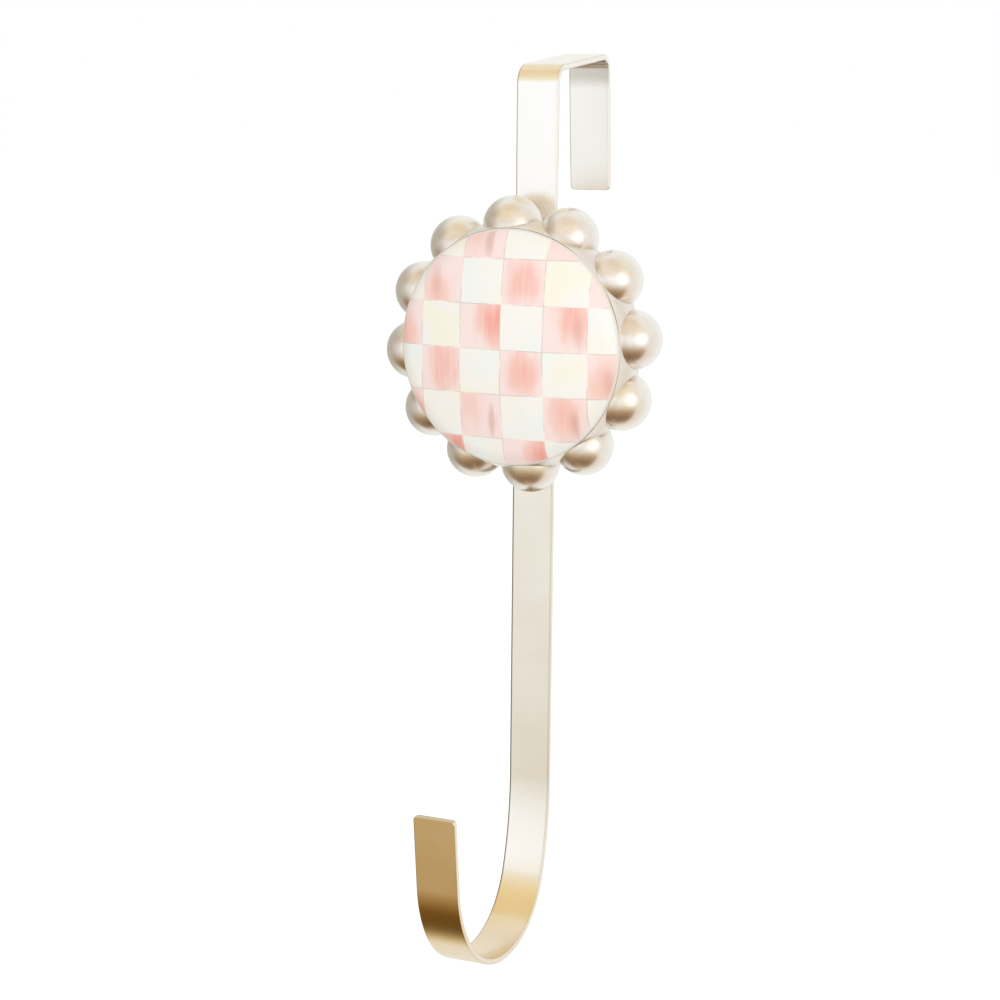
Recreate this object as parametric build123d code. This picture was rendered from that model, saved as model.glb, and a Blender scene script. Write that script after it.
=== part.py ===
from build123d import *
import os
from math import acos, atan2, cos, radians, sin, tan

# Over-the-door wreath hanger. Lengths are in millimetres, angles in degrees.
# X runs across the strap, Y from the front of the door to its back, Z up.
# The origin is the door's top front edge, so the stem's back face is Y = 0.

# Flat bar of the strap
strap_width = 16.0
strap_thickness = 2.3
strap_edge_radius = 0.5
strap_corner_radius = 1.4

# Saddle over the door: the front bend is left a little open, so the saddle climbs and the lip leans out
door_thickness = 44.45
door_clearance = 1.35
saddle_rise = 5.9
lip_lean = 3.8
lip_drop = 48.8
front_bend_radius = 5.2
back_bend_radius = 3.6

# Stem and hook: radii are those of the inside of the hook
stem_length = 261.2
neck_radius = 109.0
neck_angle = 18.8
heel_radius = 30.0
heel_angle = 54.0
bowl_radius = 40.0
bowl_angle = 101.0
tip_length = 27.3

# Medallion: a casting of balls round a hollow hub
medallion_drop = 97.0
ball_count = 12
ball_diameter = 21.8
ball_circle_radius = 42.75
ball_gap_to_strap = 0.1
ring_turn = 5.4
hub_back_radius = 41.0
hub_waist_radius = 45.0
hub_floor = 4.0
pocket_radius = 31.0

# Pressed dome with an enamelled face
dome_radius = 42.5
dome_height = 8.5
dome_sheet = 1.0
dome_knuckle_radius = 9.0
dome_rim_slope = 60.0
dome_seat_clearance = 0.1
spigot_height = 0.8
spigot_clearance = 0.2

# Countersunk screws from the back of the strap
screw_spacing = 34.0
screw_diameter = 3.0
screw_length = 10.0
screw_head_diameter = 5.6
screw_head_land = 0.25
screw_recess_width = 0.7
screw_recess_span = 3.0
screw_recess_depth = 1.0
screw_hole_clearance = 0.2
screw_seat_clearance = 0.05
thread_clearance = 0.05
thread_run_out = 1.0
boss_diameter = 9.0
boss_height = 6.0

# Sizes that follow
door_gap = door_thickness + door_clearance
half_thickness = strap_thickness / 2
ball_radius = ball_diameter / 2
ball_height = ball_radius + ball_gap_to_strap
seat_height = ball_height + ball_radius + dome_seat_clearance
medallion_plane = Plane(
    origin=(0, -strap_thickness, -medallion_drop), x_dir=(1, 0, 0), z_dir=(0, -1, 0)
)


def saddle_line():
    """Centre line over the door, from the end of the lip to the end of the straight stem."""
    rise = radians(saddle_rise)
    lean = radians(lip_lean)
    stem_y = -half_thickness
    front_corner = (stem_y, stem_y * tan(rise) + half_thickness / cos(rise))
    # the saddle's centre line meets the lip's, which leans out from the inside corner
    corner_z = door_gap * tan(rise)
    lip_offset = half_thickness / cos(lean)
    saddle_offset = half_thickness / cos(rise)
    back_y = (door_gap + lip_offset + (corner_z - saddle_offset) * tan(lean)) / (1 + tan(rise) * tan(lean))
    back_corner = (back_y, back_y * tan(rise) + saddle_offset)
    lip_z = corner_z - lip_drop
    lip_end = (door_gap + lip_offset + lip_drop * tan(lean), lip_z)
    stem_end = (stem_y, -stem_length)
    return FilletPolyline(
        lip_end,
        back_corner,
        front_corner,
        stem_end,
        radius=[back_bend_radius + half_thickness, front_bend_radius + half_thickness],
    )


def hook_line(start):
    """Centre line of the hook: three tangent arcs and a straight tip."""
    neck = JernArc(start, (0, -1), neck_radius + half_thickness, -neck_angle)
    heel = JernArc(neck @ 1, neck % 1, heel_radius + half_thickness, -heel_angle)
    bowl = JernArc(heel @ 1, heel % 1, bowl_radius + half_thickness, -bowl_angle)
    tip = Line(bowl @ 1, (bowl @ 1) + (bowl % 1) * tip_length)
    return [neck, heel, bowl, tip]


def make_strap():
    """One flat bar, bent over the door and into a hook."""
    saddle = saddle_line()
    path = Plane.YZ * Wire(saddle.edges() + [e for c in hook_line(saddle @ 1) for e in c.edges()])
    start = path.location_at(0)
    section = Plane(origin=start.position, x_dir=(1, 0, 0), z_dir=path % 0)
    bar = sweep(section * Rectangle(strap_width, strap_thickness), path=path)
    # plan corners of both ends, then the rolled edges of the bar
    ends = [bar.faces().sort_by_distance(path @ u)[0] for u in (0, 1)]
    corners = [e for face in ends for e in face.edges() if e.length < strap_width / 2]
    bar = fillet(corners, strap_corner_radius)
    sides = bar.faces().filter_by(Axis.X)
    long_edges = [e for face in sides for e in face.edges() if e.length > strap_thickness * 1.05]
    bar = fillet(long_edges, strap_edge_radius)
    for z in screw_heights():
        bar -= screw_cutter(z)
    return bar


def screw_heights():
    return [-medallion_drop - screw_spacing / 2, -medallion_drop + screw_spacing / 2]


def screw_plane(z):
    """Plane at the strap's back face, its normal along the screw towards the front."""
    return Plane(origin=(0, 0, z), x_dir=(1, 0, 0), z_dir=(0, -1, 0))


def screw_profile(shank_radius, head_radius, land, length):
    """Half section of a countersunk screw or of its hole, from the head's flat to the point."""
    cone = head_radius - shank_radius
    return make_face(
        Polyline(
            (0, 0),
            (head_radius, 0),
            (head_radius, land),
            (shank_radius, land + cone),
            (shank_radius, length),
            (0, length),
            close=True,
        )
    )


def screw_cutter(z):
    """Clearance hole and countersink through the strap."""
    shank_radius = screw_diameter / 2 + screw_hole_clearance
    head_radius = screw_head_diameter / 2 + screw_seat_clearance + screw_hole_clearance
    land = screw_head_land + screw_seat_clearance
    profile = screw_profile(shank_radius, head_radius, land, strap_thickness + 1)
    return screw_plane(z) * revolve(Plane.XZ * profile, Axis.Z)


def make_screws():
    """Two identical countersunk screws with a cross recess."""
    profile = screw_profile(
        screw_diameter / 2, screw_head_diameter / 2, screw_head_land, screw_length
    )
    screw = revolve(Plane.XZ * profile, Axis.Z)
    for size in ((screw_recess_span, screw_recess_width), (screw_recess_width, screw_recess_span)):
        screw -= Pos(0, 0, screw_recess_depth / 2) * Box(*size, screw_recess_depth)
    screw = Pos(0, 0, screw_seat_clearance) * screw
    return [screw_plane(z) * screw for z in screw_heights()]


def polar(centre, radius, angle):
    """Point on a circle, its angle measured from straight up towards the outside."""
    return centre[0] + radius * sin(angle), centre[1] + radius * cos(angle)


def arc_between(centre, radius, first, last):
    return ThreePointArc(*(polar(centre, radius, a) for a in (first, (first + last) / 2, last)))


def dome_centres():
    """Centres and radius of the crown and knuckle arcs, and the angle where they join."""
    slope = radians(dome_rim_slope)
    knuckle = (dome_radius - dome_knuckle_radius * sin(slope), -dome_knuckle_radius * cos(slope))
    fall = knuckle[1] - dome_height
    crown_radius = (dome_knuckle_radius**2 - knuckle[0] ** 2 - fall**2) / (2 * (fall + dome_knuckle_radius))
    crown = (0, dome_height - crown_radius)
    join = atan2(knuckle[0], knuckle[1] - crown[1])
    return crown, crown_radius, knuckle, join


def dome_skin(inset):
    """Crown and knuckle arcs of one skin of the dome, from the axis down to the seat plane."""
    crown, crown_radius, knuckle, join = dome_centres()
    radius = dome_knuckle_radius - inset
    rim = acos(-knuckle[1] / radius)
    return [
        arc_between(crown, crown_radius - inset, 0, join),
        arc_between(knuckle, radius, join, rim),
    ]


def make_dome():
    """Pressed sheet dome that sits on the casting's seat."""
    outside = dome_skin(0)
    inside = dome_skin(dome_sheet)
    rim_edge = Line(outside[1] @ 1, inside[1] @ 1)
    axis_edge = Line(outside[0] @ 0, inside[0] @ 0)
    profile = make_face(outside + inside + [rim_edge, axis_edge])
    shell = revolve(Plane.XZ * profile, Axis.Z)
    return medallion_plane * Pos(0, 0, seat_height) * shell


def make_bead_ring():
    """Hollow hub with balls cast round it, a seat for the dome and two screw bosses."""
    inner_rim = (dome_skin(dome_sheet)[1] @ 1).X
    spigot_radius = inner_rim - spigot_height / tan(radians(dome_rim_slope)) - spigot_clearance
    profile = make_face(
        [
            Line((0, 0), (hub_back_radius, 0)),
            ThreePointArc((hub_back_radius, 0), (hub_waist_radius, ball_height), (dome_radius, seat_height)),
            Polyline(
                (dome_radius, seat_height),
                (spigot_radius, seat_height),
                (spigot_radius, seat_height + spigot_height),
                (pocket_radius, seat_height + spigot_height),
                (pocket_radius, hub_floor),
                (0, hub_floor),
                (0, 0),
            ),
        ]
    )
    # turned so that the revolve's seam falls between two balls
    hub = Rot(0, 0, ring_turn + 180 / ball_count) * revolve(Plane.XZ * profile, Axis.Z)
    ball = Sphere(ball_radius)
    places = PolarLocations(ball_circle_radius, ball_count, start_angle=ring_turn)
    casting = hub + [place * Pos(0, 0, ball_height) * ball for place in places]
    boss = Cylinder(boss_diameter / 2, boss_height, align=(Align.CENTER, Align.CENTER, Align.MIN))
    hole_depth = screw_length - strap_thickness + screw_seat_clearance + thread_run_out
    hole = Cylinder(
        screw_diameter / 2 + thread_clearance, hole_depth, align=(Align.CENTER, Align.CENTER, Align.MIN)
    )
    for side in (-1, 1):
        casting += Pos(0, side * screw_spacing / 2, hub_floor) * boss
    for side in (-1, 1):
        casting -= Pos(0, side * screw_spacing / 2, 0) * hole
    return medallion_plane * casting


def build():
    return {
        "strap": [make_strap()],
        "bead_ring": [make_bead_ring()],
        "dome": [make_dome()],
        "mounting_screws": make_screws(),
    }


os.makedirs("parts", exist_ok=True)
for node, pieces in build().items():
    shape = pieces[0] if len(pieces) == 1 else Compound(pieces)
    export_step(shape, f"parts/{node}.step")
    print(node, "volume", round(shape.volume, 1), "valid", shape.is_valid)
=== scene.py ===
import bmesh
import bpy
import numpy as np
from math import acos, atan2, cos, hypot, pi, radians, sin, tan
from mathutils import Matrix, Vector


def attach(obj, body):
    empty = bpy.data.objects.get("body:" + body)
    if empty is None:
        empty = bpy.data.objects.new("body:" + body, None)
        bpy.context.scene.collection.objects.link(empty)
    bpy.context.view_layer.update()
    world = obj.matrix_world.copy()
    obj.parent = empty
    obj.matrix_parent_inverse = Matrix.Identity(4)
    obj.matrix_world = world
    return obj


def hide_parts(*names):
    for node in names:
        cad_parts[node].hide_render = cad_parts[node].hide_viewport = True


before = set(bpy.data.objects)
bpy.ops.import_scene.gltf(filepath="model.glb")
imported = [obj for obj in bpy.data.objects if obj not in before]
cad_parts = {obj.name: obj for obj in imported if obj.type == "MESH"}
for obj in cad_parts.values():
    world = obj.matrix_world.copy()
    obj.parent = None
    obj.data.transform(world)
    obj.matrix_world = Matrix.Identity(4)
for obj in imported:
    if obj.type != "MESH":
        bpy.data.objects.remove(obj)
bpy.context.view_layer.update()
mm = 0.001
print("frame: loaded", sorted(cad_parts))


# Shader maths

class Wire:
    # one output socket, wrapped so that maths on it reads as an expression and adds Math nodes
    def __init__(self, finish, socket):
        self.finish = finish
        self.socket = socket

    def maths(self, operation, *values):
        return self.finish.node("Math", {"operation": operation}, dict(enumerate(values)))

    def __add__(self, other):
        return self.maths("ADD", self, other)

    def __radd__(self, other):
        return self.maths("ADD", other, self)

    def __sub__(self, other):
        return self.maths("SUBTRACT", self, other)

    def __rsub__(self, other):
        return self.maths("SUBTRACT", other, self)

    def __mul__(self, other):
        return self.maths("MULTIPLY", self, other)

    def __rmul__(self, other):
        return self.maths("MULTIPLY", other, self)

    def __truediv__(self, other):
        return self.maths("DIVIDE", self, other)

    def __pow__(self, other):
        return self.maths("POWER", self, other)

    def __abs__(self):
        return self.maths("ABSOLUTE", self)

    def whole(self):
        return self.maths("FLOOR", self)

    def atLeast(self, other):
        return self.maths("MAXIMUM", self, other)


class Finish:
    # a node tree in the making; node() adds any node, the rest are short names for common ones
    def __init__(self, tree):
        self.tree = tree
        tree.nodes.clear()

    def node(self, kind, settings, sockets, output=0):
        made = self.tree.nodes.new("ShaderNode" + kind)
        for name, value in settings.items():
            if name == "stops":
                ramp = made.color_ramp.elements
                while len(ramp) < len(value):
                    ramp.new(0.5)
                for element, (place, colour) in zip(ramp, value):
                    element.position = place
                    element.color = colour
            else:
                setattr(made, name, value)
        for name, value in sockets.items():
            if isinstance(value, Wire):
                self.tree.links.new(value.socket, made.inputs[name])
            else:
                made.inputs[name].default_value = value
        return Wire(self, made.outputs[output])

    def split(self, vector):
        first = self.node("SeparateXYZ", {}, {0: vector})
        return [Wire(self, socket) for socket in first.socket.node.outputs]

    def join(self, x, y, z):
        return self.node("CombineXYZ", {}, {0: x, 1: y, 2: z})

    def step(self, value, low, high):
        # 0 below low, 1 above high, a smooth ramp between
        return self.node("MapRange", {"interpolation_type": "SMOOTHSTEP"}, {0: value, 1: low, 2: high})

    def near(self, value, place, inner, outer):
        # 1 where value is within inner of place, fading to 0 at outer
        return 1 - self.step(abs(value - place), inner, outer)

    def noise(self, vector, scale, detail=2.0, roughness=0.5):
        sockets = {"Vector": vector, "Scale": scale, "Detail": detail, "Roughness": roughness}
        return self.node("TexNoise", {}, sockets, "Fac")

    def blend(self, factor, first, second, mode="MIX"):
        # colours mix by factor: 0 gives first, 1 gives second
        settings = {"data_type": "RGBA", "blend_type": mode}
        return self.node("Mix", settings, {0: factor, 6: first, 7: second}, 2)

    def bump(self, height, distance, strength):
        sockets = {"Height": height, "Distance": distance, "Strength": strength}
        return self.node("Bump", {}, sockets, "Normal")

    def close(self, shader, kind="OutputMaterial"):
        end = self.tree.nodes.new("ShaderNode" + kind)
        self.tree.links.new(shader.socket, end.inputs["Surface"])


def newFinish(name):
    material = bpy.data.materials.new(name)
    material.use_nodes = True
    return material, Finish(material.node_tree)


def colour(red, green, blue):
    # sRGB steps of 0 to 255, turned to the linear values that the shaders take
    steps = np.array([red, green, blue]) / 255
    linear = np.where(steps <= 0.04045, steps / 12.92, ((steps + 0.055) / 1.055) ** 2.4)
    return (*linear.tolist(), 1.0)


def metres(lengths):
    # millimetres of a dictionary as metres, which positions in the shaders have
    return [length * mm for length in lengths]


# Meshes from grids of points

sharpAngle = radians(35)   # between two faces, from which their edge is sharp
mergeDistance = 1e-7


def surfaceObject(name, grids, material):
    # each grid is (points, uv), rows by columns; neighbours are joined by quads, then coincident points merge
    points, quads, coordinates = [], [], []
    start = 0
    for grid, uv in grids:
        rows, columns = grid.shape[:2]
        index = start + np.arange(rows * columns).reshape(rows, columns)
        corners = [index[:-1, :-1], index[1:, :-1], index[1:, 1:], index[:-1, 1:]]
        quads.append(np.stack(corners, axis=-1).reshape(-1, 4))
        points.append(grid.reshape(-1, 3))
        coordinates.append(uv.reshape(-1, 2))
        start += rows * columns
    points, quads, coordinates = (np.concatenate(part) for part in (points, quads, coordinates))
    mesh = bpy.data.meshes.new(name)
    mesh.vertices.add(len(points))
    mesh.vertices.foreach_set("co", points.astype(np.float32).ravel())
    mesh.loops.add(quads.size)
    mesh.loops.foreach_set("vertex_index", quads.astype(np.int32).ravel())
    mesh.polygons.add(len(quads))
    mesh.polygons.foreach_set("loop_start", np.arange(0, quads.size, 4, dtype=np.int32))
    mesh.update(calc_edges=True)
    layer = mesh.uv_layers.new(name="surface")
    layer.data.foreach_set("uv", coordinates[quads.ravel()].astype(np.float32).ravel())
    tidy = bmesh.new()
    tidy.from_mesh(mesh)
    bmesh.ops.remove_doubles(tidy, verts=tidy.verts, dist=mergeDistance)
    bmesh.ops.recalc_face_normals(tidy, faces=tidy.faces)
    tidy.to_mesh(mesh)
    tidy.free()
    mesh.shade_smooth()
    mesh.set_sharp_from_angle(angle=sharpAngle)
    mesh.materials.append(material)
    made = bpy.data.objects.new(name, mesh)
    bpy.context.scene.collection.objects.link(made)
    return made


def standFor(piece, node):
    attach(piece, "root")
    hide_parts(node)


def combine(piece, others):
    # joins or cuts the piece with each (operation, object) in turn and keeps the result as its mesh
    for operation, other in others:
        boolean = piece.modifiers.new("combine", "BOOLEAN")
        boolean.object = other
        boolean.operation = operation
        boolean.solver = "EXACT"
    whole = piece.evaluated_get(bpy.context.evaluated_depsgraph_get())
    piece.data = bpy.data.meshes.new_from_object(whole)
    piece.data.set_sharp_from_angle(angle=sharpAngle)
    piece.modifiers.clear()
    for _, other in others:
        bpy.data.objects.remove(other)


def revolved(profile, around, place):
    # the profile's (radius, height) rows turned through a full circle; place maps x, y, height to the part
    turn = np.linspace(0, 2 * pi, around + 1)
    radius, height = profile[:, 0:1], profile[:, 1:2]
    local = np.stack([radius * np.cos(turn), radius * np.sin(turn), height + 0 * turn], axis=-1)
    travel = np.concatenate([[0], np.cumsum(np.hypot(*np.diff(profile, axis=0).T))])
    uv = np.stack(np.broadcast_arrays(turn * profile[:, 0].max(), travel[:, None]), axis=-1)
    return place(local), uv


def arcPoints(centre, radius, first, last, count):
    # circle arc; the angle is measured from the height axis towards the outside
    angle = np.linspace(first, last, count)
    return np.stack([centre[0] + radius * np.sin(angle), centre[1] + radius * np.cos(angle)], axis=-1)


def throughThree(a, b, c, count):
    # circle arc from a over b to c, its centre where the two chords' bisectors meet
    (ax, ay), (bx, by), (cx, cy) = a, b, c
    scale = 2 * (ax * (by - cy) + bx * (cy - ay) + cx * (ay - by))
    sa, sb, sc = ax**2 + ay**2, bx**2 + by**2, cx**2 + cy**2
    x = (sa * (by - cy) + sb * (cy - ay) + sc * (ay - by)) / scale
    y = (sa * (cx - bx) + sb * (ax - cx) + sc * (bx - ax)) / scale
    ends = [atan2(px - x, py - y) for px, py in (a, c)]
    return arcPoints((x, y), hypot(ax - x, ay - y), *ends, count)


# Camera, at the photograph's viewing angle

cameraSetup = {
    "position": (0.33985, -0.78443, -0.00296),
    "azimuth": 24.283,   # degrees right of the front
    "elevation": 10.159,   # degrees above the horizon
    "roll": 0.543,
    "lens": 84.52,
    "sensor": 36.0,
}


def makeCamera():
    turn, lift, roll = (radians(cameraSetup[k]) for k in ("azimuth", "elevation", "roll"))
    back = Vector((sin(turn) * cos(lift), -cos(turn) * cos(lift), sin(lift)))
    level = Vector((cos(turn), sin(turn), 0))
    upright = back.cross(level)
    right = level * cos(roll) + upright * sin(roll)
    up = back.cross(right)
    camera = bpy.data.objects.new("camera", bpy.data.cameras.new("camera"))
    camera.matrix_world = Matrix((right, up, back)).transposed().to_4x4()
    camera.location = cameraSetup["position"]
    camera.data.lens = cameraSetup["lens"]
    camera.data.sensor_width = cameraSetup["sensor"]
    bpy.context.scene.collection.objects.link(camera)
    bpy.context.scene.camera = camera


makeCamera()
bpy.context.scene.view_settings.view_transform = "Standard"
print("camera: set")


# Strap: champagne lacquer on a flat bar

strap = {
    "width": 16.0,
    "thickness": 2.3,
    "edgeRadius": 0.5,
    "cornerRadius": 1.4,
    "endRounding": 0.25,
    "doorGap": 45.8,
    "saddleRise": 5.9,
    "lipLean": 3.8,
    "lipDrop": 48.8,
    "frontBend": 5.2,
    "backBend": 3.6,
    "stem": 261.2,
    "hook": [(109.0, 18.8), (30.0, 54.0), (40.0, 101.0)],   # inside radius and turn of each arc
    "tip": 27.3,
    "screwHeights": (-114.0, -80.0),
    "screwHole": 1.7,
    "screwSink": 3.05,
    "sinkLand": 0.3,
    "bendStep": 1.0,   # degrees between rows in a bend
    "straightRows": 12,
    "besideBend": (0.8, 2.0),   # rows by a bend, before the even ones start
    "endRows": (6, 14),   # in the rounding of an end, and in its corner arc
    "edgeColumns": 8,
    "flatMargin": 0.06,   # from the end of a flat to the column that keeps it flat
    "capRings": (0.0, 0.35, 0.7, 0.9),   # shares of the end's outline
    "hairlines": (2600, 22),   # noise per metre, across and along
    "nicks": (900, 240),
    "nickRange": (0.78, 0.81),
    "cloudScale": 38.0,
    "cloudRange": (0.35, 0.7),
    "grainScale": 900.0,
    "topLightFade": (20.0, 140.0),   # below the front bend
    "goldFade": (-1.0, 10.0),   # past the end of the neck
    "goldWander": 4.0,
    "bendShift": 0.4,   # from the middle of the front bend towards the saddle
    "bendFade": (1.0, 5.3),
    "bronzePlace": 14.0,   # before the end of the bowl
    "bronzeFade": (4.5, 11.5),
    "bowlSheenPlace": 21.0,   # past the heel
    "bowlSheenFade": (18.0, 36.0),
    "edgeBrownFade": (0.2, 0.65),
    "edgeBrownWander": 0.2,
    "leftEdgeFade": (0.5, 0.8),
    "leftEdgeRun": 150.0,   # down the stem to its full strength
    "insideShadeFade": (2.0, 8.0),
    "cutEnd": (0.5, 0.1),   # before the tip's end
    "bendReflectionAmount": 0.7,
    "bronzeAmount": 0.9,
    "bowlSheenAmount": 0.6,
    "hairlineAmount": 0.05,
    "insideShadeAmount": 0.4,
    "cutEndAmount": 0.35,
    "nickAmount": 0.4,
    "roughness": 0.2,
    "coat": 0.1,
    "coatRoughness": 0.12,
    "pearlTop": colour(249, 245, 238),
    "pearl": colour(242, 234, 221),
    "gold": colour(239, 218, 171),
    "goldLight": colour(245, 226, 184),
    "bowlSheen": colour(237, 223, 207),
    "bronze": colour(205, 167, 86),
    "brownAndShade": colour(136, 116, 92),
    "edgeShade": colour(104, 88, 72),
    "hairline": colour(255, 246, 228),
    "nick": colour(252, 244, 226),
}


def strapRuns():
    # straight runs and arcs of the centre line as (length, turn in radians), from the lip's end to the hook's
    # tip; each bend's fillet cuts radius * tan(half its turn) off the straight lines that meet there
    half = strap["thickness"] / 2
    rise, lean = radians(strap["saddleRise"]), radians(strap["lipLean"])
    front = np.array([-half, -half * tan(rise) + half / cos(rise)])
    cornerHeight = strap["doorGap"] * tan(rise)
    lipOffset, saddleOffset = half / cos(lean), half / cos(rise)
    backY = strap["doorGap"] + lipOffset + (cornerHeight - saddleOffset) * tan(lean)
    backY /= 1 + tan(rise) * tan(lean)
    back = np.array([backY, backY * tan(rise) + saddleOffset])
    drop = strap["lipDrop"]
    lipEnd = np.array([strap["doorGap"] + lipOffset + drop * tan(lean), cornerHeight - drop])
    backTurn, frontTurn = pi / 2 + rise - lean, pi / 2 - rise
    backRadius, frontRadius = strap["backBend"] + half, strap["frontBend"] + half
    backCut, frontCut = backRadius * tan(backTurn / 2), frontRadius * tan(frontTurn / 2)
    runs = [
        (np.hypot(*(back - lipEnd)) - backCut, 0),
        (backRadius * backTurn, backTurn),
        (np.hypot(*(front - back)) - backCut - frontCut, 0),
        (frontRadius * frontTurn, frontTurn),
        (front[1] + strap["stem"] - frontCut, 0),
    ]
    runs += [((radius + half) * radians(turn), -radians(turn)) for radius, turn in strap["hook"]]
    runs.append((strap["tip"], 0))
    return lipEnd, pi / 2 + lean, runs


def strapLine(lipEnd, heading, runs, along):
    # places and headings at the distances along: within a run the heading turns evenly, so the place is the
    # integral of its sine and cosine, a line or an arc
    lengths, turns = (np.array(column, dtype=float) for column in zip(*runs))
    starts = np.concatenate([[0], np.cumsum(lengths)])
    headings = heading + np.concatenate([[0], np.cumsum(turns)])
    bend = turns / lengths
    bend[bend == 0] = 1e-9   # a straight run is an arc of a huge radius

    def onRun(run, distance):
        now = headings[run] + bend[run] * distance
        y = (np.sin(now) - np.sin(headings[run])) / bend[run]
        z = (np.cos(headings[run]) - np.cos(now)) / bend[run]
        return np.stack([y, z], axis=-1), now

    steps = onRun(np.arange(len(runs)), lengths)[0]
    corners = lipEnd + np.concatenate([np.zeros((1, 2)), np.cumsum(steps, axis=0)])
    run = np.clip(np.searchsorted(starts, along, side="right") - 1, 0, len(runs) - 1)
    moved, now = onRun(run, along - starts[run])
    return corners[run] + moved, now


def strapSamples(runs):
    # distances along the centre line: close together in the bends and at both ends, wide apart on straight runs
    whole, samples = 0.0, []
    close, clear = strap["besideBend"]
    for length, turn in runs:
        if turn:
            count = max(3, int(abs(turn) / radians(strap["bendStep"])))
            samples.append(whole + np.linspace(0, length, count + 1))
        else:
            middle = np.linspace(clear, length - clear, strap["straightRows"])
            samples.append(whole + np.concatenate([[0, close], middle, [length - close, length]]))
        whole += length
    corner, rounding = strap["cornerRadius"], strap["endRounding"]
    roundingRows, cornerRows = strap["endRows"]
    inRounding = rounding * (1 - np.cos(np.linspace(0, pi / 2, roundingRows)))
    near = np.concatenate([inRounding, np.linspace(rounding, corner, cornerRows)])
    return np.unique(np.round(np.concatenate([*samples, near, whole - near]), 5)), whole


def strapSection():
    # rounded rectangle as corner signs and an angle per column; both ends of each arc are there twice, and the
    # added column moves a little way into the flat
    count = strap["edgeColumns"]
    quarter = np.linspace(0, pi / 2, count)
    angle = np.concatenate([quarter + k * pi / 2 for k in range(4)])
    signX = np.repeat([1, -1, -1, 1], count)
    signY = np.repeat([1, 1, -1, -1], count)
    first = np.arange(4) * count
    places = np.stack([first, first + count], axis=-1).ravel()
    twins = np.stack([first, first + count - 1], axis=-1).ravel()
    inFlat = np.insert(np.zeros(4 * count), places, 1)
    signX, signY, angle = (np.insert(column, places, column[twins]) for column in (signX, signY, angle))
    return [np.append(column, column[0]) for column in (signX, signY, angle, inFlat)]


def strapGrid():
    # the section carried along the centre line and set square to it; near both ends a corner arc narrows it
    # and a small rounding shrinks it, and a flat cap of smaller and smaller rings closes it
    lipEnd, heading, runs = strapRuns()
    along, whole = strapSamples(runs)
    place, now = strapLine(lipEnd, heading, runs, along)
    toEnd = np.minimum(along, whole - along)
    corner, rounding, edge = strap["cornerRadius"], strap["endRounding"], strap["edgeRadius"]
    inCorner = corner - np.sqrt(corner**2 - np.clip(corner - toEnd, 0, corner) ** 2)
    inRound = rounding - np.sqrt(rounding**2 - np.clip(rounding - toEnd, 0, rounding) ** 2)
    halfWidth = strap["width"] / 2 - inCorner - inRound
    halfThick = strap["thickness"] / 2 - inRound
    caps = np.array(strap["capRings"])
    last = len(along) - 1
    order = np.concatenate([np.zeros(len(caps), int), np.arange(last + 1), np.full(len(caps), last)])
    shrink = np.concatenate([caps, np.ones(last + 1), caps[::-1]])[:, None]
    across, thick, place, now, along = (v[order] for v in (halfWidth, halfThick, place, now, along))
    signX, signY, angle, inFlat = strapSection()
    # the added column moves sideways on a flat that runs across, up or down on one through the thickness
    alongX = np.isclose(np.abs(np.cos(angle)), 0)
    margin = strap["flatMargin"] * inFlat
    radius = np.minimum(edge, thick)[:, None]
    x = signX * (across[:, None] - radius) + radius * np.cos(angle) - signX * margin * alongX
    y = signY * (thick[:, None] - radius) + radius * np.sin(angle) - signY * margin * ~alongX
    x, y = x * shrink, y * shrink
    left = np.stack([-np.sin(now), np.cos(now)], axis=-1)
    world = np.stack([x, place[:, 0:1] + y * left[:, 0:1], place[:, 1:2] + y * left[:, 1:2]], axis=-1)
    ring = np.stack([x, y], axis=-1)[len(order) // 2]
    girth = np.concatenate([[0], np.cumsum(np.hypot(*np.diff(ring, axis=0).T))])
    uv = np.stack(np.broadcast_arrays(girth[None, :], along[:, None]), axis=-1)
    return world * mm, uv * mm


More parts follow.
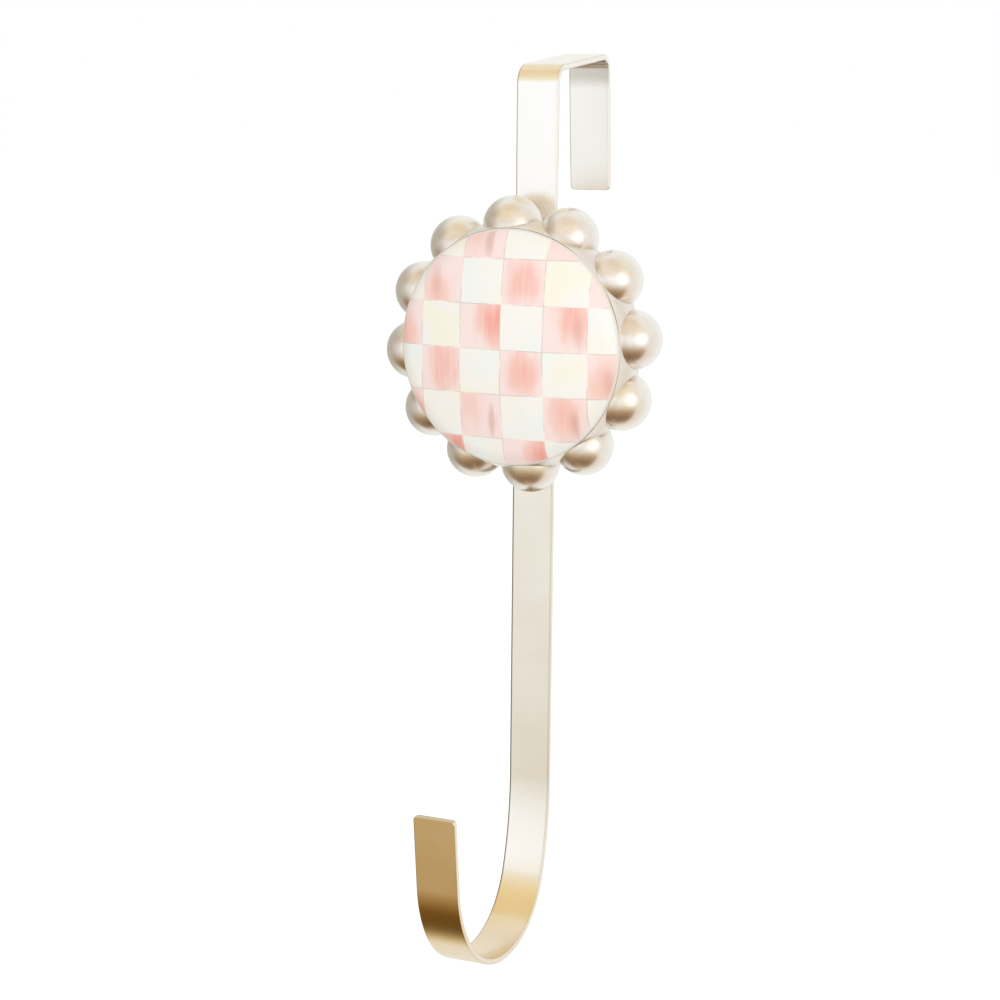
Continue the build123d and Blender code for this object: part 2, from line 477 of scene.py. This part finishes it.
def strapFinish():
    # lacquer over brushed metal, whiter towards the top as painted light, whitest on the narrow sides, gold
    # from the foot of the
    # neck on: lengthwise hairlines, cloudy toning, a painted warm reflection on the front bend, a painted pale
    # sheen round the bowl's bottom, bronze where the bowl turns up, darker brown on the rolled edges, a painted
    # shade line along the left front one, painted shade inside the back bend, a browner cut end and a few nicks
    material, finish = newFinish("strapLacquer")
    coordinate = finish.node("UVMap", {"uv_map": "surface"}, {})
    across, along, _ = finish.split(coordinate)
    position = finish.node("TexCoord", {}, {}, "Object")
    thin, drawn = strap["hairlines"]
    hairlines = finish.noise(finish.join(across * thin, along * drawn, 0.0), 1.0, 2.0, 0.5)
    clouds = finish.noise(position, strap["cloudScale"], 3.0, 0.55)
    grains = finish.noise(position, strap["grainScale"], 2.0, 0.6)
    thin, drawn = strap["nicks"]
    nicks = finish.noise(finish.join(across * thin, along * drawn, 3.7), 1.0, 1.0)
    nicks = finish.step(nicks, *strap["nickRange"])
    cloudy = finish.step(clouds, *strap["cloudRange"])

    # where each run of the centre line ends
    ends = np.cumsum([length for length, _ in strapRuns()[2]]) * mm
    lipEnd, _, saddleEnd, bendEnd, _, neckEnd, heelEnd, bowlEnd, tipEnd = ends

    # the girth runs round arc, wide flat, arc, narrow flat, twice over
    arc = strap["edgeRadius"] * pi / 2
    wide = strap["width"] - 2 * strap["edgeRadius"]
    half = 2 * arc + wide + strap["thickness"] - 2 * strap["edgeRadius"]
    girth = finish.node("Math", {"operation": "FLOORED_MODULO"}, {0: across, 1: half * mm})
    toFlat = abs(girth - (arc + wide / 2) * mm)
    onSide = finish.step(toFlat, (wide / 2 + arc * 0.3) * mm, (wide / 2 + arc * 0.8) * mm)

    start, full = metres(strap["goldFade"])
    wander = strap["goldWander"] * mm * (clouds - 0.5)
    gold = finish.step(along + wander, neckEnd + start, neckEnd + full)
    # painted reflection: a warm gold band across the front bend, as of a warm ceiling mirrored there
    middle = (saddleEnd + bendEnd) / 2 - strap["bendShift"] * mm
    bend = finish.near(along, middle, *metres(strap["bendFade"]))
    # painted light: the pearl is whiter towards the saddle and lip, fading out below the front bend
    start, full = metres(strap["topLightFade"])
    low = finish.step(along, bendEnd + start, bendEnd + full)
    pearl = finish.blend(low, strap["pearlTop"], strap["pearl"])
    pearl = finish.blend(cloudy * 0.5, pearl, strap["pearlTop"])
    golden = finish.blend(cloudy, strap["gold"], strap["goldLight"])
    tone = finish.blend(gold.atLeast(bend * strap["bendReflectionAmount"]) * (1 - 0.7 * onSide), pearl, golden)

    upturn = finish.near(along, bowlEnd - strap["bronzePlace"] * mm, *metres(strap["bronzeFade"]))
    tone = finish.blend(upturn * (strap["bronzeAmount"] - 0.7 * onSide), tone, strap["bronze"])
    # painted sheen: a paler band round the bowl's bottom
    bowlSheen = finish.near(along, heelEnd + strap["bowlSheenPlace"] * mm, *metres(strap["bowlSheenFade"]))
    tone = finish.blend(bowlSheen * strap["bowlSheenAmount"], tone, strap["bowlSheen"])
    tone = finish.blend(hairlines * strap["hairlineAmount"], tone, strap["hairline"])

    # darker brown on the rolled edges, more down the stem and less on the gold
    toArc = abs(toFlat - (wide + arc) / 2 * mm)
    wander = strap["edgeBrownWander"] * mm * (grains - 0.5)
    brownAndShade = 1 - finish.step(toArc + wander, *metres(strap["edgeBrownFade"]))
    tone = finish.blend(brownAndShade * (0.16 + 0.14 * low) * (1 - 0.6 * gold), tone, strap["brownAndShade"])
    # painted shade: a dark line along the left front rolled edge, strongest down the stem
    leftFront = finish.near(across, (half + arc / 2) * mm, *metres(strap["leftEdgeFade"]))
    onStem = finish.step(along, bendEnd, bendEnd + strap["leftEdgeRun"] * mm)
    onStem = onStem * (1 - finish.step(along, neckEnd, heelEnd))
    tone = finish.blend(leftFront * (0.25 + 0.5 * onStem), tone, strap["edgeShade"])
    # painted shade inside the back bend, on the door side
    insideBendShade = finish.near(along, lipEnd, *metres(strap["insideShadeFade"]))
    doorSide = 1 - finish.step(across, (arc + wide) * mm, (arc * 2 + wide) * mm)
    tone = finish.blend(insideBendShade * doorSide * strap["insideShadeAmount"], tone, strap["brownAndShade"])
    start, full = metres(strap["cutEnd"])
    cutEnd = finish.step(along, tipEnd - start, tipEnd - full)
    tone = finish.blend(cutEnd * strap["cutEndAmount"], tone, strap["brownAndShade"])
    tone = finish.blend(nicks * strap["nickAmount"], tone, strap["nick"])
    sockets = {
        "Base Color": tone,
        "Metallic": 1.0,
        "Roughness": strap["roughness"] + 0.06 * hairlines + 0.06 * clouds,
        "Coat Weight": strap["coat"],
        "Coat Roughness": strap["coatRoughness"],
        "Normal": finish.bump(hairlines * 0.25 - nicks * 0.8, 0.01 * mm, 0.12),
    }
    finish.close(finish.node("BsdfPrincipled", {}, sockets))
    return material


def turnedAbout(name, height, rows, around=48):
    # a solid turned about a screw's axis at that height; rows are (radius, distance in front of the strap's
    # back)
    def place(local):
        return np.stack([local[..., 0], -local[..., 2], height + local[..., 1]], axis=-1) * mm

    return surfaceObject(name, [revolved(np.array(rows), around, place)], None)


def screwCutter(height):
    # countersink and clearance hole, started before the strap's back and ended past its front
    hole, sink, land = strap["screwHole"], strap["screwSink"], strap["sinkLand"]
    start, end = -0.5, strap["thickness"] + 1
    rows = [(0, start), (sink, start), (sink, land), (hole, land + sink - hole), (hole, end), (0, end)]
    return turnedAbout("screwCutter", height, rows)


strapMaterial = strapFinish()
strapBar = surfaceObject("strapBar", [strapGrid()], strapMaterial)
combine(strapBar, [("DIFFERENCE", screwCutter(height)) for height in strap["screwHeights"]])
standFor(strapBar, "strap")
print("strap: made,", len(strapBar.data.polygons), "faces")


# Medallion casting: balls round a hollow hub

medallion = {
    "height": -97.0,
    "seatOnStrap": 2.3,
    "balls": 12,
    "ballRadius": 10.9,
    "ballHeight": 11.0,
    "ballCircle": 42.75,
    "turn": 5.4,
    "unevenness": 0.05,
    "waveShare": 0.6,   # of the waves from pole to pole, against those round the ball
    "waveTurn": 1.7,   # from one ball to the next
    "waveShift": 1.3,   # inwards, so that hardly a place stands out past the plain ball
    "ballRows": 49,
    "ballColumns": 81,
    "wallRows": 33,
    "hubColumns": 180,
    "hubBack": 41.0,
    "hubWaist": 45.0,
    "backMargin": 0.3,   # from an edge to the ring that keeps its flat even, as is the next
    "seatMargin": 0.2,
    "seatHeight": 22.0,
    "domeRadius": 42.5,
    "spigotRadius": 40.9,
    "spigotHeight": 0.8,
    "pocketRadius": 31.0,
    "hubFloor": 4.0,
    "bossRadius": 4.5,
    "bossHeight": 6.0,
    "screwHole": 1.55,
    "screwDepth": 8.75,
    "cloudScale": 150.0,
    "cloudRange": (0.35, 0.65),
    "sheenScale": 62.0,
    "sheenRange": (0.5, 0.68),
    "stainScale": 420.0,
    "stainRange": (0.55, 0.8),
    "undersideShadeRange": (-0.5, -0.1),   # height of the surface's normal
    "rimReflectionRange": (0.1, 0.5),
    "creaseRadius": 44.2,   # where balls and hub meet
    "creaseFade": (0.2, 1.8),
    "creaseWander": 1.2,
    "sheenAmount": 0.5,
    "undersideShadeAmount": 0.75,
    "rimAmount": 0.9,
    "stainAmount": 0.12,
    "creaseShadeAmount": 0.2,
    "metallic": 0.9,
    "roughness": 0.22,
    "coat": 0.2,
    "coatRoughness": 0.12,
    "pearl": colour(235, 225, 215),
    "pearlLight": colour(242, 234, 226),
    "gold": colour(235, 220, 182),
    "rose": colour(236, 221, 215),
    "rim": colour(246, 246, 242),
    "undersideShade": colour(236, 208, 184),
    "patinaAndShade": colour(190, 158, 132),
}


def onMedallion(local):
    # local x across, y up and height in front of the strap's face become the part's axes
    y = -medallion["seatOnStrap"] - local[..., 2]
    return np.stack([local[..., 0], y, medallion["height"] + local[..., 1]], axis=-1) * mm


def ballGrid(number):
    # a sphere whose radius swells by a few thousandths with sines of its own angles, as a cast ball's does
    turn = radians(medallion["turn"] + number * 360 / medallion["balls"])
    fall = np.linspace(0, pi, medallion["ballRows"])[:, None]
    roundAngle = np.linspace(0, 2 * pi, medallion["ballColumns"])[None, :]
    poleWaves = np.sin(3 * fall + number) * medallion["waveShare"]
    roundWaves = np.sin(2 * roundAngle + medallion["waveTurn"] * number) * np.sin(fall) ** 2
    swell = poleWaves + roundWaves - medallion["waveShift"]
    radius = medallion["ballRadius"] + medallion["unevenness"] * swell
    x = medallion["ballCircle"] * cos(turn) + radius * np.sin(fall) * np.cos(roundAngle)
    y = medallion["ballCircle"] * sin(turn) + radius * np.sin(fall) * np.sin(roundAngle)
    height = medallion["ballHeight"] + radius * np.cos(fall) + 0 * roundAngle
    uv = np.stack(np.broadcast_arrays(roundAngle * 0.01, fall * 0.01), axis=-1)   # the lacquer doesn't read it
    return onMedallion(np.stack([x, y, height], axis=-1)), uv


def hubGrid():
    # back plate, bowed wall over the waist, seat, spigot and pocket, turned about the medallion's axis
    back, waist, seat = medallion["hubBack"], medallion["hubWaist"], medallion["seatHeight"]
    rim, spigot, pocket = medallion["domeRadius"], medallion["spigotRadius"], medallion["pocketRadius"]
    top = seat + medallion["spigotHeight"]
    wall = throughThree((back, 0), (waist, medallion["ballHeight"]), (rim, seat), medallion["wallRows"])
    rows = np.concatenate([
        np.array([(0, 0), (back * 0.5, 0), (back - medallion["backMargin"], 0)]),
        wall,
        np.array([(rim - medallion["seatMargin"], seat), (spigot, seat), (spigot, top), (pocket, top)]),
        np.array([(pocket, medallion["hubFloor"]), (0, medallion["hubFloor"])]),
    ])
    return revolved(rows, medallion["hubColumns"], onMedallion)


def screwBosses():
    # two bosses on the hub's floor, and the blind holes through them from the back; bosses start inside the
    # floor and holes before the back plate, so that no faces coincide
    start, floor = medallion["seatOnStrap"], medallion["hubFloor"]
    boss, hole = medallion["bossRadius"], medallion["screwHole"]
    top, end = start + floor + medallion["bossHeight"], start + medallion["screwDepth"]
    inside, before = start + floor / 2, start - 0.5
    bossRows = [(0, inside), (boss, inside), (boss, top), (0, top)]
    holeRows = [(0, before), (hole, before), (hole, end), (0, end)]
    made = [("UNION", turnedAbout("boss", height, bossRows)) for height in strap["screwHeights"]]
    return made + [("DIFFERENCE", turnedAbout("hole", height, holeRows)) for height in strap["screwHeights"]]


def fromAxis(finish, position):
    # distance from the medallion's axis, the root of the two squares across it
    x, _, z = finish.split(position)
    return (x * x + (z - medallion["height"] * mm) ** 2.0) ** 0.5


def pearlFinish():
    # pearl lacquer on cast metal: pale clouds that lean to gold and rose, a painted warm shade on what faces
    # down, a painted pale reflection on the rims seen edge-on, specks of bronze patina, and painted shade in
    # the creases
    material, finish = newFinish("pearlMetal")
    position = finish.node("TexCoord", {}, {}, "Object")
    upward = finish.split(finish.node("TexCoord", {}, {}, "Normal"))[2]
    facing = finish.node("LayerWeight", {}, {"Blend": 0.35}, "Facing")
    outward = fromAxis(finish, position)
    clouds = finish.noise(position, medallion["cloudScale"], 4.0, 0.6)
    stains = finish.noise(position, medallion["stainScale"], 3.0, 0.65)
    sheen = finish.noise(position, medallion["sheenScale"], 2.0, 0.5)
    cloudy = finish.step(clouds, *medallion["cloudRange"])
    golden = finish.step(sheen, *medallion["sheenRange"])
    rosy = finish.step(1 - sheen, *medallion["sheenRange"])
    # painted shade: what faces down is warmer and darker
    below = 1 - finish.step(upward, *medallion["undersideShadeRange"])
    # painted reflection: the surface turns pale where it is seen edge-on
    atRim = finish.step(facing, *medallion["rimReflectionRange"])
    stained = finish.step(stains, *medallion["stainRange"])
    # painted shade: darker where the balls and hub meet
    toCrease = abs(outward - medallion["creaseRadius"] * mm)
    wander = medallion["creaseWander"] * mm * (clouds - 0.5)
    creaseShade = 1 - finish.step(toCrease + wander, *metres(medallion["creaseFade"]))
    tone = finish.blend(cloudy, medallion["pearl"], medallion["pearlLight"])
    tone = finish.blend(golden * medallion["sheenAmount"], tone, medallion["gold"])
    tone = finish.blend(rosy * medallion["sheenAmount"], tone, medallion["rose"])
    tone = finish.blend(below * medallion["undersideShadeAmount"], tone, medallion["undersideShade"])
    tone = finish.blend(atRim * medallion["rimAmount"], tone, medallion["rim"])
    tone = finish.blend(stained * medallion["stainAmount"], tone, medallion["patinaAndShade"])
    tone = finish.blend(creaseShade * medallion["creaseShadeAmount"], tone, medallion["patinaAndShade"])
    sockets = {
        "Base Color": tone,
        "Metallic": medallion["metallic"],
        "Roughness": medallion["roughness"] + 0.12 * clouds,
        "Coat Weight": medallion["coat"],
        "Coat Roughness": medallion["coatRoughness"],
        "Normal": finish.bump(clouds, 0.04 * mm, 0.2),
    }
    finish.close(finish.node("BsdfPrincipled", {}, sockets))
    return material


pearlMaterial = pearlFinish()
hub = surfaceObject("hub", [hubGrid()], pearlMaterial)
combine(hub, screwBosses())
balls = surfaceObject("balls", [ballGrid(k) for k in range(medallion["balls"])], pearlMaterial)
for part in (hub, balls):
    standFor(part, "bead_ring")
print("casting: made,", len(hub.data.polygons) + len(balls.data.polygons), "faces")


# Dome: pressed sheet with a checked enamel

dome = {
    "radius": 42.5,
    "height": 8.5,
    "sheet": 1.0,
    "knuckle": 9.0,
    "rimSlope": 60.0,
    "square": 16.0,
    "crownRows": 56,
    "insideRows": 24,
    "columns": 256,
    "wobbleScale": 110.0,
    "wobble": (0.05, 0.04),   # of the grid, across and upright, in squares
    "strokes": (1300, 45),   # noise per metre, across and upright
    "bands": (420, 30),
    "blotScale": 110.0,
    "leanScale": 75.0,
    "leanRange": (0.5, 0.66),
    "leanAmount": 0.8,
    "washSize": (0.48, 0.72),   # half axes in squares
    "washFade": (-0.1, 1.15),   # 0 is its middle and 1 its edge, as for the smear
    "washStrength": (0.1, 0.85),   # the least, and what a square's own draw can add
    "peachRange": (0.0, 0.35),
    "peachAmount": 0.55,
    "streakRange": (0.3, 0.7),
    "smearSize": (0.17, 0.5),
    "smearFade": (0.1, 1.0),
    "smearRange": (0.4, 0.7),   # the squares that have one
    "smearAmount": 0.4,
    "strokeAmount": 0.05,
    "lineRange": (0.482, 0.493),   # from a square's middle
    "greyRange": (-0.12, 0.1),   # of the wobble, from cream joints to grey ones
    "lineAmount": 0.65,
    "rimFade": (41.5, 41.9),
    "rimAmount": 0.9,
    "footFade": (42.2, 42.35),
    "footWander": 0.2,
    "footShadeScale": 28.0,
    "footShadeRange": (0.45, 0.6),
    "roughness": 0.3,
    "coat": 0.3,
    "coatRoughness": 0.12,
    "pale": colour(253, 250, 241),
    "yellow": colour(254, 249, 228),
    "blue": colour(247, 250, 244),
    "pink": colour(255, 233, 227),
    "peach": colour(255, 217, 200),
    "deepPink": colour(249, 150, 132),
    "smear": colour(198, 124, 98),
    "lineLight": colour(254, 245, 236),
    "line": colour(218, 194, 184),
    "rim": colour(238, 231, 217),
    "footShade": colour(140, 112, 88),
}


def domeSkin(inset, count):
    # crown arc and knuckle arc, tangent to each other, from the axis down to the seat plane
    slope, knuckle = radians(dome["rimSlope"]), dome["knuckle"]
    middle = (dome["radius"] - knuckle * sin(slope), -knuckle * cos(slope))
    fall = middle[1] - dome["height"]
    crownRadius = (knuckle**2 - middle[0] ** 2 - fall**2) / (2 * (fall + knuckle))
    crown = (0, dome["height"] - crownRadius)
    meet = atan2(middle[0], middle[1] - crown[1])
    rim = acos(-middle[1] / (knuckle - inset))
    first = arcPoints(crown, crownRadius - inset, 0, meet, count)
    second = arcPoints(middle, knuckle - inset, meet, rim, count // 2)
    return np.concatenate([first, second[1:]])


def domeGrid():
    # the outer skin down to the seat and the inner one back up, turned about the medallion's axis
    outside, inside = domeSkin(0, dome["crownRows"]), domeSkin(dome["sheet"], dome["insideRows"])
    rows = np.concatenate([outside, inside[::-1]])
    rows[:, 1] += medallion["seatHeight"]
    return revolved(rows, dome["columns"], onMedallion)


def fromMiddle(x, y, across, upright):
    # 0 in the middle of an ellipse with these half axes, 1 on its edge
    x, y = x / across, y / upright
    return (x * x + y * y) ** 0.5


def enamelFinish():
    # a plain check laid on with an upright brush: in each pink square the wash pools round a middle of its own,
    # with streaks through it and a brownish smear in some; pale squares lean to yellow or blue, and the joints
    # between squares are partly cream and partly grey
    material, finish = newFinish("checkedEnamel")
    position = finish.node("TexCoord", {}, {}, "Object")
    x, _, z = finish.split(position)
    square = dome["square"] * mm
    wobble = finish.noise(position, dome["wobbleScale"], 2.0) - 0.5
    across, upright = dome["wobble"]
    column = x / square + across * wobble
    row = (z - medallion["height"] * mm) / square + upright * wobble
    inColumn, inRow = column - column.whole(), row - row.whole()
    isPink = finish.node("Math", {"operation": "FLOORED_MODULO"}, {0: column.whole() + row.whole(), 1: 2.0})

    # four even draws for each square
    cell = finish.join(column.whole(), row.whole(), 4.0)
    own = finish.node("TexWhiteNoise", {"noise_dimensions": "3D"}, {"Vector": cell}, "Value")
    chance = finish.node("TexWhiteNoise", {"noise_dimensions": "3D"}, {"Vector": cell}, "Color")
    sideways, upwards, smeared = finish.split(chance)

    thin, drawn = dome["strokes"]
    strokes = finish.noise(finish.join(x * thin, z * drawn, own * 9), 1.0, 3.0, 0.65)
    thin, drawn = dome["bands"]
    bands = finish.noise(finish.join(x * thin, z * drawn, own * 17), 1.0, 2.0, 0.5)
    blot = finish.noise(finish.join(x * 1.6, own, z * 0.8), dome["blotScale"], 2.0, 0.45)
    across, upright = dome["washSize"]
    away = fromMiddle(inColumn - 0.08 - 0.84 * sideways, inRow - 0.15 - 0.6 * upwards, across, upright)
    least, added = dome["washStrength"]
    wash = 1 - finish.step(away + 1.1 * (blot - 0.5), *dome["washFade"])
    wash = wash * (least + added * own)
    streaks = finish.step(bands + 0.9 * (strokes - 0.5), *dome["streakRange"])
    across, upright = dome["smearSize"]
    away = fromMiddle(inColumn - 0.3 - 0.5 * upwards, inRow - 0.3 - 0.3 * sideways, across, upright)
    smear = 1 - finish.step(away + 1.2 * (strokes - 0.5) + 0.8 * (bands - 0.5), *dome["smearFade"])
    smear = smear * finish.step(smeared, *dome["smearRange"])
    peachy = finish.step(wash, *dome["peachRange"]) * dome["peachAmount"]
    pink = finish.blend(peachy, dome["pink"], dome["peach"])
    pink = finish.blend(wash * (0.6 + 0.4 * streaks), pink, dome["deepPink"])
    pink = finish.blend(smear * dome["smearAmount"], pink, dome["smear"])

    lean = finish.noise(position, dome["leanScale"], 2.0, 0.5)
    yellow = finish.step(lean, *dome["leanRange"]) * dome["leanAmount"]
    blue = finish.step(1 - lean, *dome["leanRange"]) * dome["leanAmount"]
    pale = finish.blend(yellow, dome["pale"], dome["yellow"])
    pale = finish.blend(blue, pale, dome["blue"])
    tone = finish.blend(isPink, pale, pink)
    tone = finish.blend(strokes * dome["strokeAmount"], tone, dome["smear"])

    toLine = abs(inColumn - 0.5).atLeast(abs(inRow - 0.5))
    line = finish.step(toLine + 0.008 * (strokes - 0.5), *dome["lineRange"])
    greyed = finish.step(wobble, *dome["greyRange"])
    lineTone = finish.blend(greyed, dome["lineLight"], dome["line"])
    tone = finish.blend(line * dome["lineAmount"], tone, lineTone)
    outward = fromAxis(finish, position)
    atRim = finish.step(outward, *metres(dome["rimFade"]))
    tone = finish.blend(atRim * dome["rimAmount"], tone, dome["rim"])
    # painted shade: a dark line round the dome's foot where it meets the hub, patchy in strength
    wander = dome["footWander"] * mm * (bands - 0.5)
    footShade = finish.step(outward + wander, *metres(dome["footFade"]))
    footShadeStrength = 0.15 + 0.7 * finish.step(finish.noise(position, dome["footShadeScale"], 1.0), *dome["footShadeRange"])
    tone = finish.blend(footShade * footShadeStrength, tone, dome["footShade"])
    sockets = {
        "Base Color": tone,
        "Metallic": 0.0,
        "Roughness": dome["roughness"] + 0.15 * strokes,
        "Coat Weight": dome["coat"],
        "Coat Roughness": dome["coatRoughness"],
        "Normal": finish.bump(strokes * 0.6 + bands * 0.5 - line * 0.5, 0.05 * mm, 0.4),
    }
    finish.close(finish.node("BsdfPrincipled", {}, sockets))
    return material


domeShell = surfaceObject("domeShell", [domeGrid()], enamelFinish())
standFor(domeShell, "dome")
print("dome: made,", len(domeShell.data.polygons), "faces")


# Screws keep their solids and get bright steel

screwSteel = {
    "grainScale": 2200.0,
    "ringScale": 9000,
    "roughness": 0.24,
    "recessDarkDepth": (0.2, 0.9),   # in front of the strap's back
    "recessDarkAmount": 0.8,
    "dull": colour(176, 174, 170),
    "bright": colour(206, 204, 198),
    "recessDark": colour(72, 66, 60),
}


def steelFinish():
    # bright steel with turning marks around each screw's axis, a fine grain, and darker steel deep in the
    # recess
    material, finish = newFinish("screwSteel")
    position = finish.node("TexCoord", {}, {}, "Object")
    grains = finish.noise(position, screwSteel["grainScale"], 2.0, 0.6)
    x, y, z = finish.split(position)
    middle = medallion["height"] * mm
    toScrew = strap["screwHeights"][1] * mm - middle
    upright = abs(z - middle) - toScrew
    fromScrew = (x * x + upright * upright) ** 0.5
    rings = finish.noise(finish.join(fromScrew * screwSteel["ringScale"], 0.0, 0.0), 1.0, 1.0)
    recessDark = finish.step(-1 * y, *metres(screwSteel["recessDarkDepth"])) * screwSteel["recessDarkAmount"]
    tone = finish.blend(grains, screwSteel["dull"], screwSteel["bright"])
    tone = finish.blend(recessDark, tone, screwSteel["recessDark"])
    sockets = {
        "Base Color": tone,
        "Metallic": 1.0,
        "Roughness": screwSteel["roughness"] + 0.12 * grains,
        "Normal": finish.bump(rings, 0.01 * mm, 0.5),
    }
    finish.close(finish.node("BsdfPrincipled", {}, sockets))
    return material


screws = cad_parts["mounting_screws"]
steel = steelFinish()
for place in screws.material_slots:
    place.material = steel
print("screws: finished")


# Studio: pale floor, white all round, and a large soft lamp; metal mirrors a warm ceiling and a brown table

studio = {
    "floorHeight": -1.2,
    "floorReach": 30.0,
    "floorColour": (0.86, 0.86, 0.86, 1),
    "floorGlow": 0.5,
    "worldStrength": 0.74,
    "white": (1, 1, 1, 1),
    "back": (0.96, 0.955, 0.93, 1),
    "backFade": (-0.3, 0.0),   # where the room in front ends and the one behind starts
    # both are mirrored only: degrees right of the front and up, where each starts and ends fading, tint
    "window": (58, 7, (3, 28), (1.7, 1.7, 1.7, 1)),
    "darkSide": (-92, 0, (10, 62), (0.5, 0.45, 0.38, 1)),
    "darkLevel": (0.5, 0.9),   # how level a direction is where the dark side fades in
    "lampPower": 12.5,
    "lampSize": (2.4, 1.6),
    "lampPlace": (0.75, -1.5, 0.35),
    "lampAim": (0, 0, -0.16),
}

# what metal mirrors in front, from straight down to straight up: elevation in degrees and colour
mirrored = [
    (-90, (0.72, 0.7, 0.72)),
    (-84, (0.54, 0.47, 0.39)),
    (-78, (0.31, 0.21, 0.13)),
    (-71, (0.2, 0.13, 0.062)),
    (-59, (0.16, 0.102, 0.034)),
    (-46, (0.3, 0.18, 0.07)),
    (-34, (0.45, 0.295, 0.125)),
    (-28, (0.6, 0.47, 0.31)),
    (-21, (0.78, 0.74, 0.64)),
    (-15, (0.86, 0.88, 0.83)),
    (-9, (1.02, 1.04, 1.08)),
    (3, (1.12, 1.17, 1.25)),
    (14, (1.12, 1.17, 1.25)),
    (20, (1.0, 0.95, 0.86)),
    (30, (0.98, 0.93, 0.79)),
    (50, (0.96, 0.88, 0.71)),
    (68, (0.88, 0.76, 0.58)),
    (90, (0.86, 0.74, 0.57)),
]


def shownTo(finish):
    # 1 for rays from the camera, from a mirror or through glass, 0 for rays that only gather light
    rays = ("Is Camera Ray", "Is Glossy Ray", "Is Transmission Ray")
    camera, mirror, glass = (finish.node("LightPath", {}, {}, name) for name in rays)
    return camera.atLeast(mirror).atLeast(glass)


def inPatch(finish, direction, turn, lift, reach):
    # 1 within the inner reach of the patch's middle, fading to 0 at the outer one, by the cosine of the angle
    turn, lift = radians(turn), radians(lift)
    middle = (sin(turn) * cos(lift), -cos(turn) * cos(lift), sin(lift))
    nearness = finish.node("VectorMath", {"operation": "DOT_PRODUCT"}, {0: direction, 1: middle}, "Value")
    inner, outer = (cos(radians(angle)) for angle in reach)
    return finish.step(nearness, outer, inner)


def makeWorld():
    # white for all but mirror rays, which see the ramp in front, a pale room behind, a dark left side and a
    # window
    world = bpy.data.worlds.new("studio")
    world.use_nodes = True
    bpy.context.scene.world = world
    finish = Finish(world.node_tree)
    direction = finish.node("TexCoord", {}, {}, "Generated")
    x, y, z = finish.split(direction)
    height = finish.node("Math", {"operation": "ARCSINE"}, {0: z}) / pi + 0.5
    stops = [(degree / 180 + 0.5, (*shade, 1)) for degree, shade in mirrored]
    shade = finish.node("ValToRGB", {"stops": stops}, {"Fac": height})
    level = (x * x + y * y).atLeast(0.0001) ** 0.5
    shade = finish.blend(finish.step(y / level, *studio["backFade"]), shade, studio["back"])
    *place, tint = studio["darkSide"]
    aside = inPatch(finish, finish.join(x / level, y / level, 0.0), *place)
    aside = aside * finish.step(level, *studio["darkLevel"])
    shade = finish.blend(aside, shade, tint, "MULTIPLY")
    *place, tint = studio["window"]
    shade = finish.blend(inPatch(finish, direction, *place), shade, tint)
    mirror = finish.node("LightPath", {}, {}, "Is Glossy Ray")
    shade = finish.blend(mirror, studio["white"], shade)
    strength = studio["worldStrength"] + (1 - studio["worldStrength"]) * shownTo(finish)
    finish.close(finish.node("Background", {}, {"Color": shade, "Strength": strength}), "OutputWorld")


def makeFloor():
    # matt white, topped up to full white for the camera, so that only the shadow shows
    material, finish = newFinish("studioFloor")
    matt = finish.node("BsdfDiffuse", {}, {"Color": studio["floorColour"]})
    glow = studio["floorGlow"] * shownTo(finish)
    glow = finish.node("Emission", {}, {"Color": studio["white"], "Strength": glow})
    finish.close(finish.node("AddShader", {}, {0: matt, 1: glow}))
    reach, height = studio["floorReach"], studio["floorHeight"]
    corners = [(reach * x, reach * y, height) for x, y in ((-1, -1), (1, -1), (1, 1), (-1, 1))]
    mesh = bpy.data.meshes.new("floor")
    mesh.from_pydata(corners, [], [(0, 1, 2, 3)])
    mesh.materials.append(material)
    made = bpy.data.objects.new("floor", mesh)
    made.visible_glossy = False
    bpy.context.scene.collection.objects.link(made)


def makeLamp():
    # lights the object only; mirrors see the studio above instead
    lamp = bpy.data.lights.new("frontLamp", "AREA")
    lamp.shape = "RECTANGLE"
    lamp.size, lamp.size_y = studio["lampSize"]
    lamp.energy = studio["lampPower"]
    made = bpy.data.objects.new("frontLamp", lamp)
    made.location = studio["lampPlace"]
    aim = Vector(studio["lampAim"]) - made.location
    made.rotation_euler = aim.to_track_quat("-Z", "Y").to_euler()
    made.visible_glossy = False
    bpy.context.scene.collection.objects.link(made)


makeWorld()
makeFloor()
makeLamp()
print("studio: lit")
